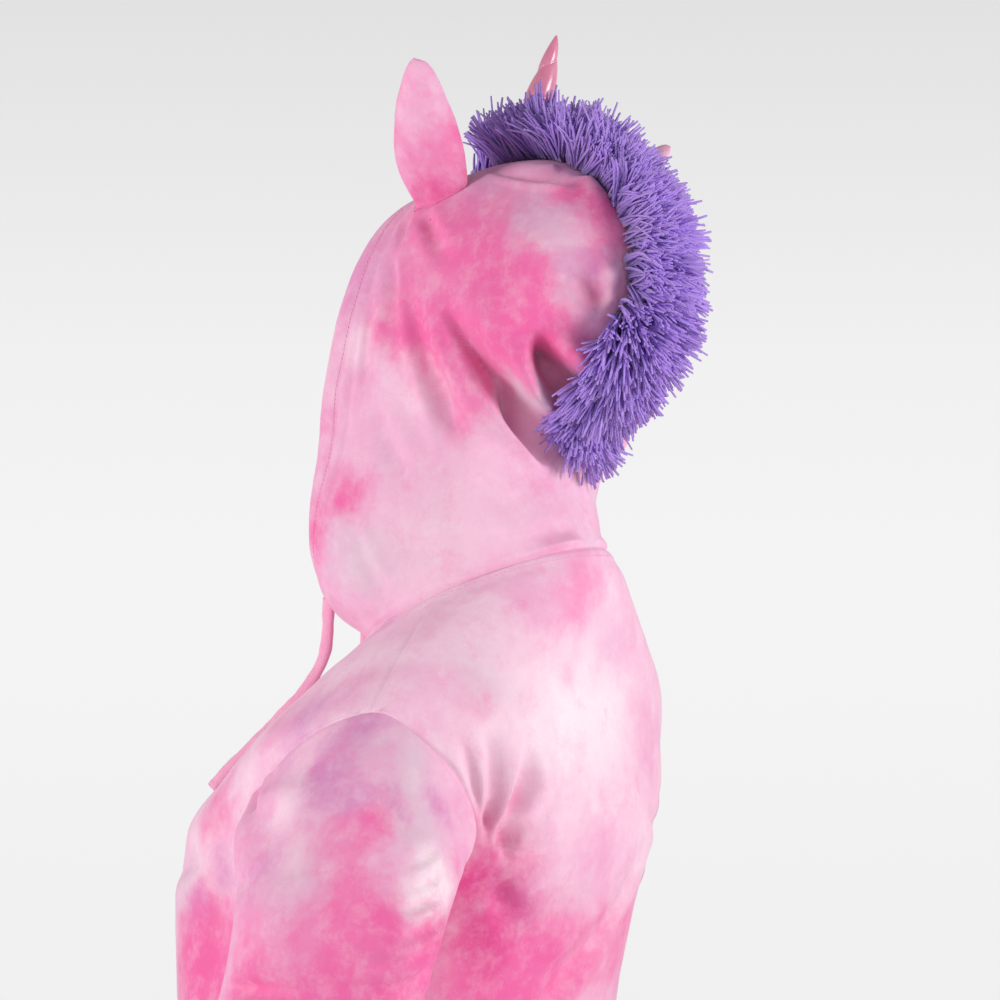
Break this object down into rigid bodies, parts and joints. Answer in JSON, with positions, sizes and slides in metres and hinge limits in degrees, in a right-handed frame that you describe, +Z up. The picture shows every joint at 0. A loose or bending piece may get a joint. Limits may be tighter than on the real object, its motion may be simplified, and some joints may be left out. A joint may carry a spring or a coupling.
{
  "type": "cosplay hoodie",
  "caption": "Hollow worn tie-dye hooded sweatshirt with a yarn mane, two stuffed ears, a spiral horn and drawstrings.",
  "frame": {"origin": "middle of the neck seam, where the hoodie rests round the wearer's neck and shoulders", "axes": "+X towards the wearer's left, +Y towards the back, +Z up"},
  "size_m": [0.6002, 0.5994, 1.1212],
  "materials": {
    "body_fleece": "brushed cotton fleece, tie-dyed pale pink, hot pink and lilac",
    "sleeve_fleece": "brushed cotton fleece, tie-dyed hot pink, pale grey and lilac",
    "hood_fleece": "brushed cotton fleece, tie-dyed hot pink and pale pink",
    "rib_band": "ribbed knit, tie-dyed pink",
    "drawstring": "soft flat knitted cord, pink",
    "ear_fleece": "brushed cotton fleece, pale pink, lightly stuffed",
    "horn_satin": "glossy pink satin, stuffed, wound with a spiral groove",
    "yarn": "soft acrylic yarn, violet, cut ends"
  },
  "bodies": {
    "root": {"front": "body_fleece", "back": "body_fleece", "hem_band": "rib_band", "sleeve_left": "sleeve_fleece", "sleeve_right": "sleeve_fleece", "cuff_left": "rib_band", "cuff_right": "rib_band", "hood_left": "hood_fleece", "hood_right": "hood_fleece", "drawstring_left": "drawstring", "drawstring_right": "drawstring", "ear_left": "ear_fleece", "ear_right": "ear_fleece", "horn": "horn_satin", "forelock": "yarn", "mane": "yarn"}
  },
  "joints": []
}
